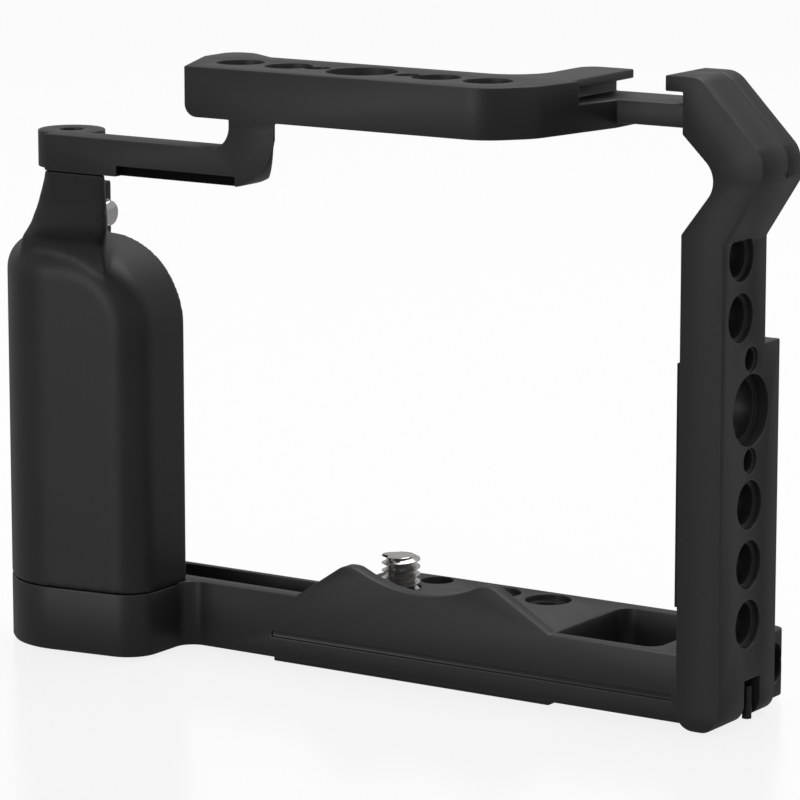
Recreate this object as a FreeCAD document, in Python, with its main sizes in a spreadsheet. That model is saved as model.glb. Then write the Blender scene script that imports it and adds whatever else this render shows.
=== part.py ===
"""Camera cage: a machined aluminium frame that a small camera is screwed into.

The frame has its origin on the axis of the camera fixing screw, at the seat of the camera on the base.
X runs from the hand grip to the side rail, Y from the lens side to the back, and Z is up.
"""
import FreeCAD, Part
import os
import Sketcher

V = FreeCAD.Vector
doc = FreeCAD.newDocument("CameraCage")
sheet = doc.addObject("Spreadsheet::Sheet", "Sizes")

SIZES = {
    # base plate, seen from above
    "base_left": -32.0, "base_front": -15.6, "base_rear": 10.0, "base_thick": 10.8,
    "plate_left": -8.2, "strip_rear": -4.3, "block_right": 66.4, "block_front": 1.1,
    "grip_left": -63.0, "grip_face_right": -29.3, "grip_nose_x": -54.0, "grip_nose_y": -32.2,
    "grip_cheek": -24.0, "root_round": 3.0, "grip_round": 5.5, "nose_round": 12.0, "cheek_round": 11.0,
    "corner_round": 2.0,
    # scalloped lip in front of the camera
    "lip_wall": 2.6, "lip_start": -10.4, "lip_high": 6.2, "lip_peak_left": -1.1, "lip_peak_right": 27.5,
    "lip_end": 37.8, "lens_axis": 13.2, "scallop_round": 26.0, "scallop_low": 3.3, "peak_round": 3.0,
    # openings and holes of the base
    "slot_left": -41.0, "slot_right": -8.5, "slot_front": -12.4, "slot_rear": -5.5,
    "bay_left": 38.0, "bay_right": 56.0, "bay_front": -13.2, "bay_rear": 7.6,
    "opening_round": 2.5,
    "seat_bore": 3.4, "seat_web": 3.5, "head_bore": 6.6, "locator_x": 2.6, "locator_y": 7.0,
    "locator_bore": 2.7, "locator_deep": 2.5,
    "base_hole_x": 15.6, "base_hole_y": 5.2, "base_hole_pitch": 9.6,
    # dovetail foot
    "foot_left": -15.2, "foot_right": 37.6, "foot_deep": 0.8, "foot_slope": 0.7,
    "groove_top": -6.4, "groove_low": -7.4, "groove_deep": 0.5, "groove_right": 60.0,
    # side rail
    "rail_in": 62.0, "rail_out": 69.4, "rail_front": -17.6, "rail_rear": 0.8, "rail_low": -11.2,
    "rail_slim_rear": -3.9, "rail_slim_from": 48.0, "kink_low_in": 65.8, "kink_mid_in": 74.6,
    "kink_top_in": 81.0, "kink_reach": 6.7, "kink_low_out": 64.7, "kink_out": 6.5, "kink_low_mid": 75.0,
    "kink_high_mid": 78.6, "rail_top": 89.8, "rail_crown": 64.9, "kink_round": 4.0, "rail_round": 3.0,
    "rail_split": -9.5,
    # threaded holes
    "quarter_bore": 3.175, "quarter_mouth": 3.8, "quarter_recess": 1.1,
    "three_eighth_bore": 4.7625, "three_eighth_mouth": 5.6, "three_eighth_recess": 2.2,
    "pin_bore": 1.75, "pin_mouth": 2.0, "pin_recess": 0.6,
    "rail_hole_mid": 38.1, "rail_hole_y": -8.2, "rail_hole_slim_y": -11.8,
    "pin_pitch": 7.9, "near_pitch": 14.8, "far_pitch": 24.2, "last_pitch": 33.6,
    # strap slot
    "strap_mid_y": -3.9, "strap_mid_z": -6.0, "strap_wide": 5.0, "strap_high": 6.0, "strap_pin_r": 0.75,
    "strap_pocket": 3.2,
    # top bar
    "bar_front": -40.0, "bar_rear": -22.6, "bar_left": -14.0, "bar_top": 88.8, "bar_thick": 7.9,
    "bar_knee": 40.8, "bar_turn": 46.0, "bar_turn_y": -33.6, "bar_end": 49.5, "bar_back_left": -19.6,
    "bar_back_y": -27.0, "bar_bulge_y": -19.2, "bar_bulge_x": -15.0, "bar_hole_y": -31.0, "bar_pin_pitch": 8.2,
    "bar_near_pitch": 13.6,
    "bar_far_pitch": 22.8, "bar_round": 3.0, "bend_round": 7.0, "shoe_block_left": 38.0,
    # cold shoe
    "shoe_left": 43.5, "shoe_reach": 46.5, "shoe_lip": 3.0, "shoe_floor": 85.3, "shoe_slot": 2.1,
    "bridge_thick": 3.6,
    "bridge_front": -15.5, "bridge_rear": -5.4, "shoe_rear": -5.4, "flank_rear": -5.5, "shoe_front": -24.0,
    # arm, riser and boss
    "arm_left": -41.7, "arm_low": 70.4, "arm_top": 76.3, "arm_deep": 5.2, "arm_right": 3.0,
    "riser_left": -5.7, "arm_round": 9.0, "riser_skin": 0.6, "inner_round": 3.5,
    "boss_x": -41.6, "boss_y": -32.8, "boss_r": 5.4, "arm_flute_left": -27.5, "arm_flute_right": -4.6,
    "arm_flute_high": 1.7, "arm_flute_deep": 1.6,
    # grip and neck
    "seam": 0.3, "grip_top": 57.0, "grip_arc": 14.5, "grip_rear": -15.6, "neck_right": -48.0,
    "neck_root": 5.0, "neck_inset": 2.5, "neck_flare": 8.0, "neck_shelf": 2.0, "neck_face_low": -37.4,
    "neck_waist": 60.5, "neck_waist_left": -49.6, "neck_waist_front": -34.4, "neck_waist_face": -33.2,
    "neck_waist_back": -57.5, "neck_throat": 64.5, "neck_throat_left": -45.4, "neck_throat_front": -37.6,
    "neck_throat_face": -31.0, "neck_throat_side": -44.6, "neck_throat_rear": -20.8, "neck_throat_back": -53.0,
    "neck_high_face": -29.5, "neck_high_side": -39.6, "neck_high_rear": -28.4, "neck_high_back": -47.0,
    "ear_rear": -8.0, "ear_right": -52.4, "ear_left": -60.0, "ear_low": 55.3, "ear_high": 64.3,
    # screws
    "screw_top": 5.2, "screw_head": 6.2, "screw_head_high": 3.2, "washer_thick": 0.5, "fit": 0.05,
    "thread_r": 3.175, "neck_r": 2.6, "slot_deep": 1.6,
    "lug_y": -12.0, "lug_z": 59.4, "lug_r": 2.5, "lug_bore": 2.55, "lug_tip": -51.0, "lug_pad_thick": 1.4,
    "lug_pad_r": 2.1, "lug_back": -60.5, "hex_r": 1.45, "hex_deep": 2.0,
    "small_r": 1.5, "small_head": 2.75, "small_head_high": 2.0, "small_key": 1.15,
    "small_bore": 1.55, "small_head_bore": 2.85, "rail_grip": 4.0, "screw_near_y": -11.8, "screw_far_y": -1.6,
    "screw_mid_z": -5.4, "rail_pin_y": -6.7, "handle_screw_left": -57.0, "handle_screw_right": -38.6,
    "handle_screw_y": -20.4, "handle_pin_x": -48.0, "handle_pin_y": -24.0, "handle_grip": 5.0,
    "boss_bore": 1.3, "boss_screw": 1.25, "boss_mouth": 1.95, "boss_head": 1.85, "boss_head_low": 72.2,
    "boss_head_high": 1.6, "boss_screw_low": 64.0, "dowel_bore": 1.52, "dowel_half": 3.0, "strap_hole": 3.4,
    "strap_hole_y": 5.6, "strap_hole_z": -5.2, "strap_hole_deep": 4.4, "strap_way": 3.0,
    "slot_half": 0.8, "lead_in": 0.6, "washer_r": 5.6, "key_deep": 1.2, "pad_lift": 2.1, "lip_pad_long": 5.0,
    "lip_pad_high": 2.4, "rail_pad_low": 8.0, "rail_pad_wide": 3.2, "rail_pad_in": 0.5, "rail_pad_high": 38.0,
    "dowel_r": 1.5, "dowel_long": 5.9, "pad_thick": 0.6, "hair": 0.02,
}


def fill_sheet():
    for row, (name, value) in enumerate(SIZES.items(), start=1):
        sheet.set("A%d" % row, name)
        sheet.set("B%d" % row, str(value))
        sheet.setAlias("B%d" % row, name)
    doc.recompute()


def amount(terms):
    """A sum of signed size names: its number and the expression that keeps it tied to the sheet."""
    number = 0.0
    parts = []
    for term in terms.split():
        sign = -1.0 if term.startswith("-") else 1.0
        name = term.lstrip("+-")
        number += sign * float(getattr(sheet, name))
        parts.append(("- " if sign < 0 else "+ ") + "Sizes." + name)
    text = " ".join(parts)
    return number, (text[2:] if text.startswith("+ ") else text) or "0"


def tie(thing, prop, terms):
    thing.setExpression(prop, amount(terms)[1])


def origin_plane(body, role):
    for feature in body.Origin.OriginFeatures:
        if feature.Role == role:
            return feature
    raise ValueError(role)


def pin_point(sketch, geometry, place, x_terms, y_terms):
    """Holds a sketch point at its two named distances from the sketch origin."""
    for kind, terms in (("DistanceX", x_terms), ("DistanceY", y_terms)):
        number, text = amount(terms)
        if number >= 0:
            index = sketch.addConstraint(Sketcher.Constraint(kind, -1, 1, geometry, place, number))
            sketch.setExpression("Constraints[%d]" % index, text)
        else:
            index = sketch.addConstraint(Sketcher.Constraint(kind, geometry, place, -1, 1, -number))
            sketch.setExpression("Constraints[%d]" % index, "-(%s)" % text)


def new_sketch(body, name, role, height):
    sketch = body.newObject("Sketcher::SketchObject", name)
    sketch.AttachmentSupport = (origin_plane(body, role), "")
    sketch.MapMode = "FlatFace"
    if height:
        number, text = amount(height)
        flip = role == "XZ_Plane"
        sketch.AttachmentOffset = FreeCAD.Placement(V(0, 0, -number if flip else number), FreeCAD.Rotation())
        sketch.setExpression("AttachmentOffset.Base.z", "-(%s)" % text if flip else text)
    return sketch


def outline(body, name, role, height, points):
    """A closed sketch of straight edges whose corners are sums of named sizes."""
    sketch = new_sketch(body, name, role, height)
    spots = [V(amount(x)[0], amount(y)[0], 0) for x, y in points]
    count = len(points)
    lines = [Part.LineSegment(spots[i], spots[(i + 1) % count]) for i in range(count)]
    sketch.addGeometry(lines, False)
    for i in range(count):
        sketch.addConstraint(Sketcher.Constraint("Coincident", i, 2, (i + 1) % count, 1))
    for i, (x, y) in enumerate(points):
        pin_point(sketch, i, 1, x, y)
    return sketch


def rectangle(body, name, role, height, x_low, x_high, y_low, y_high):
    return outline(body, name, role, height,
                   [(x_low, y_low), (x_high, y_low), (x_high, y_high), (x_low, y_high)])


def circles(body, name, role, height, radius, centres):
    sketch = new_sketch(body, name, role, height)
    for i, (x, y) in enumerate(centres):
        centre = V(amount(x)[0], amount(y)[0], 0)
        sketch.addGeometry(Part.Circle(centre, V(0, 0, 1), amount(radius)[0]), False)
        pin_point(sketch, i, 3, x, y)
        index = sketch.addConstraint(Sketcher.Constraint("Radius", i, amount(radius)[0]))
        tie(sketch, "Constraints[%d]" % index, radius)
    return sketch


def pad(body, name, sketch, length, reverse=False):
    feature = body.newObject("PartDesign::Pad", name)
    feature.Profile = sketch
    tie(feature, "Length", length)
    feature.Reversed = reverse
    doc.recompute()
    return feature


def pocket(body, name, sketch, length, reverse=False):
    """Cuts the sketch out and makes sure that the cut really took something away."""
    before = body.Shape.Volume
    feature = body.newObject("PartDesign::Pocket", name)
    feature.Profile = sketch
    tie(feature, "Length", length)
    feature.Reversed = reverse
    doc.recompute()
    if body.Shape.Volume > before - 1e-3:
        feature.Reversed = not reverse
        doc.recompute()
    if body.Shape.Volume > before - 1e-3:
        raise ValueError(name + " cuts nothing")
    return feature


def edges_where(shape, wanted):
    return ["Edge%d" % (i + 1) for i, edge in enumerate(shape.Edges) if wanted(edge)]


def upright_at(spots, axis=2):
    """Picks straight edges that run along an axis and pass through one of the given spots."""
    flat = [i for i in range(3) if i != axis]

    def wanted(edge):
        if len(edge.Vertexes) != 2 or edge.Curve.TypeId != "Part::GeomLine":
            return False
        a, b = edge.Vertexes[0].Point, edge.Vertexes[1].Point
        if max(abs(a[i] - b[i]) for i in flat) > 1e-4:
            return False
        return any(abs(a[flat[0]] - x) < 0.01 and abs(a[flat[1]] - y) < 0.01 for x, y in spots)
    return wanted


def soften(body, name, kind, wanted, size):
    """Rounds or chamfers the edges of the body's last feature that the test picks."""
    base = body.Tip
    names = edges_where(base.Shape, wanted)
    if not names:
        raise ValueError(name + " finds no edge")
    feature = body.newObject("PartDesign::" + kind, name)
    feature.Base = (base, names)
    tie(feature, "Radius" if kind == "Fillet" else "Size", size)
    doc.recompute()
    if "Invalid" in feature.State:
        raise ValueError(name + " does not fit")
    return feature


def corners(points):
    return [(amount(x)[0], amount(y)[0]) for x, y in points]


def new_body(label):
    body = doc.addObject("PartDesign::Body", label)
    body.Label = label
    return body


def rod(label, radius, length, x, y, z, axis="z"):
    """A round bar from a named point along an axis."""
    bar = doc.addObject("Part::Cylinder", label)
    bar.Label = label
    tie(bar, "Radius", radius)
    tie(bar, "Height", length)
    turn = {"z": FreeCAD.Rotation(), "x": FreeCAD.Rotation(V(0, 1, 0), 90),
            "y": FreeCAD.Rotation(V(1, 0, 0), -90)}
    bar.Placement = FreeCAD.Placement(V(), turn[axis])
    for prop, terms in zip("xyz", (x, y, z)):
        tie(bar, "Placement.Base." + prop, terms)
    return bar


def block(label, x, y, z, length, width, height):
    """A box from its lowest corner."""
    box = doc.addObject("Part::Box", label)
    box.Label = label
    for prop, terms in (("Length", length), ("Width", width), ("Height", height)):
        tie(box, prop, terms)
    for prop, terms in zip("xyz", (x, y, z)):
        tie(box, "Placement.Base." + prop, terms)
    return box


def fuse(label, shapes):
    joined = doc.addObject("Part::MultiFuse", label)
    joined.Label = label
    joined.Shapes = shapes
    return joined


def cut(label, base, tool):
    left = doc.addObject("Part::Cut", label)
    left.Label = label
    left.Base = base
    left.Tool = tool
    return left


def group(label, shapes):
    """Several equal loose pieces kept under one name."""
    gathered = doc.addObject("Part::Compound", label)
    gathered.Label = label
    gathered.Links = shapes
    return gathered


def threaded_row(body, name, role, height, size, centres, through):
    """Bores of one size with the wider mouth that the photograph shows round each of them."""
    bores = circles(body, name + "Bores", role, height, size + "_bore", centres)
    pocket(body, name + "Bore", bores, through)
    mouths = circles(body, name + "Mouths", role, height, size + "_mouth", centres)
    pocket(body, name + "Mouth", mouths, size + "_recess")


fill_sheet()

RAIL_SCREWS = [("screw_near_y", "screw_mid_z"), ("screw_far_y", "screw_mid_z")]
RAIL_PINS = [("rail_pin_y", "screw_mid_z")]
FLANK_SCREWS = [("rail_in +small_head +seam", "kink_top_in +small_head"), ("rail_out", "kink_high_mid -seam")]
HANDLE_SCREWS = [("handle_screw_left", "handle_screw_y"), ("handle_screw_right", "handle_screw_y")]
HANDLE_PINS = [("handle_pin_x", "handle_pin_y")]
GRIP_PLAN = [("grip_left", "grip_cheek"), ("grip_nose_x", "grip_nose_y"), ("base_left", "grip_face_right"),
             ("base_left", "base_front")]


def make_base():
    body = new_body("base_plate")
    plan = GRIP_PLAN + [("rail_in", "base_front"), ("rail_in", "block_front"), ("block_right", "block_front"),
                        ("block_right", "base_rear"), ("plate_left", "base_rear"), ("plate_left", "strip_rear"),
                        ("grip_left", "strip_rear")]
    pad(body, "Slab", outline(body, "SlabPlan", "XY_Plane", "", plan), "base_thick", True)
    soften(body, "GripRoot", "Fillet", upright_at(corners(GRIP_PLAN[3:4])), "root_round")
    soften(body, "GripFace", "Fillet", upright_at(corners(GRIP_PLAN[2:3])), "grip_round")
    soften(body, "GripNose", "Fillet", upright_at(corners(GRIP_PLAN[1:2])), "nose_round")
    soften(body, "GripCheek", "Fillet", upright_at(corners(GRIP_PLAN[0:1])), "cheek_round")
    soften(body, "PlateCorners", "Fillet", upright_at(corners(
        [("block_right", "base_rear"), ("plate_left", "base_rear"), ("plate_left", "strip_rear"),
         ("grip_left", "strip_rear")])), "corner_round")
    lip = outline(body, "LipFace", "XZ_Plane", "base_front", [
        ("lip_start", ""), ("lip_peak_left", "lip_high"), ("lip_peak_right", "lip_high"),
        ("lip_end", ""), ("lip_end", "-base_thick"), ("lip_start", "-base_thick")])
    pad(body, "Lip", lip, "lip_wall", True)
    scallop = circles(body, "ScallopFace", "XZ_Plane", "base_front", "scallop_round",
                      [("lens_axis", "scallop_low +scallop_round")])
    pocket(body, "Scallop", scallop, "lip_wall")
    high = amount("lip_high")[0]
    soften(body, "LipPeaks", "Fillet", lambda edge: len(edge.Vertexes) == 2 and all(
        abs(point.Point.z - high) < 0.01 for point in edge.Vertexes) and abs(
        edge.Vertexes[0].Point.x - edge.Vertexes[1].Point.x) < 0.01, "peak_round")
    foot = outline(body, "FootPlan", "XY_Plane", "-base_thick", [
        ("foot_left", "base_front +foot_slope"), ("foot_right", "base_front +foot_slope"),
        ("foot_right", "base_rear -foot_slope"), ("plate_left +corner_round", "base_rear -foot_slope"),
        ("plate_left +corner_round", "strip_rear"), ("foot_left", "strip_rear")])
    pad(body, "DovetailFoot", foot, "foot_deep", True)
    through = "base_thick +foot_deep"
    slot_points = [("slot_left", "slot_front"), ("slot_right", "slot_front"), ("slot_right", "slot_rear"),
                   ("slot_left", "slot_rear")]
    pocket(body, "LeftOpening", outline(body, "LeftOpeningPlan", "XY_Plane", "", slot_points), through)
    bay_points = [("bay_left", "bay_front"), ("bay_right", "bay_front"), ("bay_right", "bay_rear"),
                  ("bay_left", "bay_rear")]
    pocket(body, "RightOpening", outline(body, "RightOpeningPlan", "XY_Plane", "", bay_points), through)
    soften(body, "OpeningCorners", "Fillet", upright_at(corners(slot_points + bay_points[1:])), "opening_round")
    centre = [("", "")]
    pocket(body, "SeatBore", circles(body, "SeatCircle", "XY_Plane", "", "seat_bore", centre), "base_thick")
    seat = circles(body, "HeadCircle", "XY_Plane", "-seat_web", "head_bore", centre)
    pocket(body, "HeadBore", seat, "base_thick")
    locator = circles(body, "LocatorCircle", "XY_Plane", "", "locator_bore", [("locator_x", "locator_y")])
    pocket(body, "Locator", locator, "locator_deep")
    threaded_row(body, "BaseQuarter", "XY_Plane", "", "quarter",
                 [("base_hole_x", "base_hole_y"), ("base_hole_x +base_hole_pitch", "base_hole_y")],
                 through)
    rail_screws = circles(body, "SideScrewCircles", "YZ_Plane", "rail_in", "small_bore", RAIL_SCREWS)
    pocket(body, "SideScrewBores", rail_screws, "rail_in -bay_right")
    heads = circles(body, "SideHeadCircles", "YZ_Plane", "bay_right", "small_head_bore", RAIL_SCREWS)
    pocket(body, "SideHeads", heads, "small_head_high +seam", True)
    pins = circles(body, "SidePinCircles", "YZ_Plane", "rail_in", "dowel_bore", RAIL_PINS)
    pocket(body, "SidePins", pins, "dowel_half +hair")
    below = circles(body, "HandleScrewCircles", "XY_Plane", "", "small_bore", HANDLE_SCREWS)
    pocket(body, "HandleScrewBores", below, "base_thick")
    heads = circles(body, "HandleHeadCircles", "XY_Plane", "-base_thick", "small_head_bore", HANDLE_SCREWS)
    pocket(body, "HandleHeads", heads, "small_head_high +seam", True)
    pins = circles(body, "HandlePinCircles", "XY_Plane", "", "dowel_bore", HANDLE_PINS)
    pocket(body, "HandlePins", pins, "dowel_half +seam +hair")
    strap = circles(body, "StrapCircle", "YZ_Plane", "block_right", "strap_hole",
                    [("strap_hole_y", "strap_hole_z")])
    pocket(body, "StrapHole", strap, "strap_hole_deep")
    way = rectangle(body, "StrapWayFace", "XZ_Plane", "base_rear", "block_right -strap_hole_deep",
                    "block_right -corner_round", "strap_hole_z -strap_way", "strap_hole_z +strap_way")
    pocket(body, "StrapWay", way, "base_rear -strap_hole_y")
    grip_seat = rectangle(body, "GripSeatPlan", "XY_Plane", "", "grip_left -hair", "base_left",
                          "grip_nose_y -hair", "grip_rear")
    pocket(body, "GripSeat", grip_seat, "seam")
    groove = rectangle(body, "GrooveFace", "XZ_Plane", "base_front", "foot_left", "groove_right",
                       "groove_low", "groove_top")
    pocket(body, "FrontGroove", groove, "groove_deep")
    return body


def make_rail():
    body = new_body("side_rail")
    face = [("rail_in", "rail_low"), ("rail_out", "rail_low"), ("rail_out", "kink_low_out"),
            ("rail_out +kink_out", "kink_low_mid"), ("rail_out +kink_out", "kink_high_mid"),
            ("rail_crown", "rail_top"), ("rail_in -shoe_lip", "rail_top"),
            ("rail_in -shoe_lip", "shoe_floor +shoe_slot"), ("rail_in", "shoe_floor +shoe_slot"),
            ("rail_in", "kink_top_in"), ("rail_in +kink_reach", "kink_mid_in"), ("rail_in", "kink_low_in")]
    pad(body, "Upright", outline(body, "UprightFace", "XZ_Plane", "rail_front", face), "rail_rear -rail_front",
        True)
    spots = corners(face)
    soften(body, "KinkRounds", "Fillet", upright_at(spots[3:5] + spots[10:11], 1), "kink_round")
    soften(body, "FootRounds", "Fillet", upright_at(spots[0:2] + spots[5:6], 1), "rail_round")
    slim = rectangle(body, "SlimFace", "XZ_Plane", "rail_slim_rear", "rail_in -kink_reach",
                     "rail_out +kink_out +kink_out", "rail_slim_from", "rail_top +rail_round")
    pocket(body, "SlimBack", slim, "rail_rear -rail_front")
    seat = rectangle(body, "FlankSeatFace", "XZ_Plane", "rail_split", "rail_in -shoe_lip -hair",
                     "rail_out +kink_out +kink_out", "kink_mid_in", "rail_top +rail_round")
    pocket(body, "FlankSeat", seat, "rail_rear -rail_front")
    wall = "rail_out -rail_in"
    low_row = ["-pin_pitch", "-near_pitch", "-far_pitch", "-last_pitch"]
    threaded_row(body, "SlimQuarter", "YZ_Plane", "rail_out", "quarter",
                 [("rail_hole_slim_y", "rail_hole_mid +far_pitch"),
                  ("rail_hole_slim_y", "rail_hole_mid +near_pitch")], wall)
    threaded_row(body, "Quarter", "YZ_Plane", "rail_out", "quarter",
                 [("rail_hole_y", "rail_hole_mid " + shift) for shift in low_row[1:]], wall)
    threaded_row(body, "Pin", "YZ_Plane", "rail_out", "pin",
                 [("rail_hole_y", "rail_hole_mid -pin_pitch"), ("rail_hole_y", "rail_hole_mid +pin_pitch")],
                 wall)
    threaded_row(body, "Middle", "YZ_Plane", "rail_out", "three_eighth", [("rail_hole_y", "rail_hole_mid")],
                 wall)
    slot = rectangle(body, "StrapFace", "YZ_Plane", "rail_out", "strap_mid_y -strap_wide", "strap_mid_y",
                     "strap_mid_z -strap_high", "strap_mid_z +strap_pin_r +strap_pin_r")
    pocket(body, "StrapSlot", slot, "strap_pocket")
    screws = circles(body, "RailScrewCircles", "YZ_Plane", "rail_in", "small_bore", RAIL_SCREWS)
    pocket(body, "RailScrewBores", screws, "rail_grip +hair", True)
    pins = circles(body, "RailPinCircles", "YZ_Plane", "rail_in", "dowel_bore", RAIL_PINS)
    pocket(body, "RailPinBores", pins, "dowel_half +hair", True)
    top = circles(body, "FlankScrewCircles", "XZ_Plane", "rail_split", "small_bore", FLANK_SCREWS)
    pocket(body, "FlankScrewBores", top, "rail_grip +hair")
    return body


def check_and_save(pieces):
    os.makedirs("parts", exist_ok=True)
    doc.recompute()
    for thing in doc.Objects:
        if any(word in thing.State for word in ("Invalid", "Error")):
            raise ValueError("%s failed: %s" % (thing.Name, thing.State))
    for piece in pieces:
        if piece.Shape.isNull() or not piece.Shape.isValid():
            raise ValueError(piece.Label + " is not a sound solid")
        piece.Shape.exportStep("parts/%s.step" % piece.Label)
        box = piece.Shape.BoundBox
        print("%-16s volume %9.1f  x %.1f..%.1f  y %.1f..%.1f  z %.1f..%.1f" % (
            piece.Label, piece.Shape.Volume, box.XMin, box.XMax, box.YMin, box.YMax, box.ZMin, box.ZMax))


def make_handle():
    """Grip and neck in one piece: a crowned column, cut to an arc on the lens side, under a leaning neck."""
    body = new_body("grip_handle")
    plan = GRIP_PLAN + [("grip_left", "grip_rear")]
    column = outline(body, "ColumnPlan", "XY_Plane", "-seam", plan)
    pad(body, "Column", column, "grip_top +seam")
    soften(body, "ColumnNose", "Fillet", upright_at(corners(GRIP_PLAN[1:2])), "nose_round")
    soften(body, "ColumnCheek", "Fillet", upright_at(corners(GRIP_PLAN[0:1])), "cheek_round")
    soften(body, "TopArc", "Fillet", lambda edge: len(edge.Vertexes) == 2 and all(
        abs(point.Point.z - amount("grip_top")[0]) < 0.01 and abs(point.Point.x - amount("base_left")[0]) < 0.01
        for point in edge.Vertexes), "grip_arc")
    soften(body, "ColumnFace", "Fillet", upright_at(corners(GRIP_PLAN[2:3])), "grip_round")
    back_row = "grip_rear -hair"
    sections = [
        ("Root", "grip_top -neck_root", [
            ("grip_left +neck_flare", "grip_face_right"), ("neck_face_low", "grip_face_right"),
            ("neck_right", back_row), ("grip_left +neck_inset", back_row)]),
        ("Top", "grip_top", [
            ("grip_left +neck_flare", "grip_nose_y +neck_shelf"), ("neck_face_low", "grip_nose_y +neck_shelf"),
            ("neck_right", back_row), ("grip_left +neck_inset", back_row)]),
        ("Waist", "neck_waist", [
            ("neck_waist_left", "neck_waist_front"), ("neck_waist_face", "neck_waist_front"),
            ("neck_right", back_row), ("neck_waist_back", back_row)]),
        ("Throat", "neck_throat", [
            ("neck_throat_left", "neck_throat_front"), ("neck_throat_face", "neck_throat_front"),
            ("neck_throat_side", "neck_throat_rear"), ("neck_throat_back", "neck_throat_rear")]),
        ("High", "arm_low -hair", [
            ("arm_left", "bar_front"), ("neck_high_face", "bar_front"), ("neck_high_side", "neck_high_rear"),
            ("neck_high_back", "neck_high_rear")]),
    ]
    sketches = [outline(body, "NeckPlan" + tag, "XY_Plane", height, points)
                for tag, height, points in sections]
    neck = body.newObject("PartDesign::AdditiveLoft", "Neck")
    neck.Profile = sketches[0]
    neck.Sections = sketches[1:]
    neck.Ruled = True
    doc.recompute()
    ear = rectangle(body, "EarFace", "XZ_Plane", "grip_rear", "ear_left", "ear_right", "ear_low", "ear_high")
    pad(body, "Ear", ear, "ear_rear -grip_rear", True)
    bore = circles(body, "LugCircle", "YZ_Plane", "ear_left -hair", "lug_bore", [("lug_y", "lug_z")])
    pocket(body, "LugBore", bore, "ear_right -ear_left +hair +hair")
    screws = circles(body, "ColumnScrewCircles", "XY_Plane", "-seam", "small_bore", HANDLE_SCREWS)
    pocket(body, "ColumnScrewBores", screws, "handle_grip +seam +hair", True)
    pins = circles(body, "ColumnPinCircles", "XY_Plane", "-seam", "dowel_bore", HANDLE_PINS)
    pocket(body, "ColumnPins", pins, "dowel_half +seam +hair", True)
    arm = circles(body, "NeckScrewCircle", "XY_Plane", "arm_low", "boss_bore", [("boss_x", "boss_y")])
    pocket(body, "NeckScrewBore", arm, "arm_low -boss_screw_low +hair")
    return body


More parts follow.
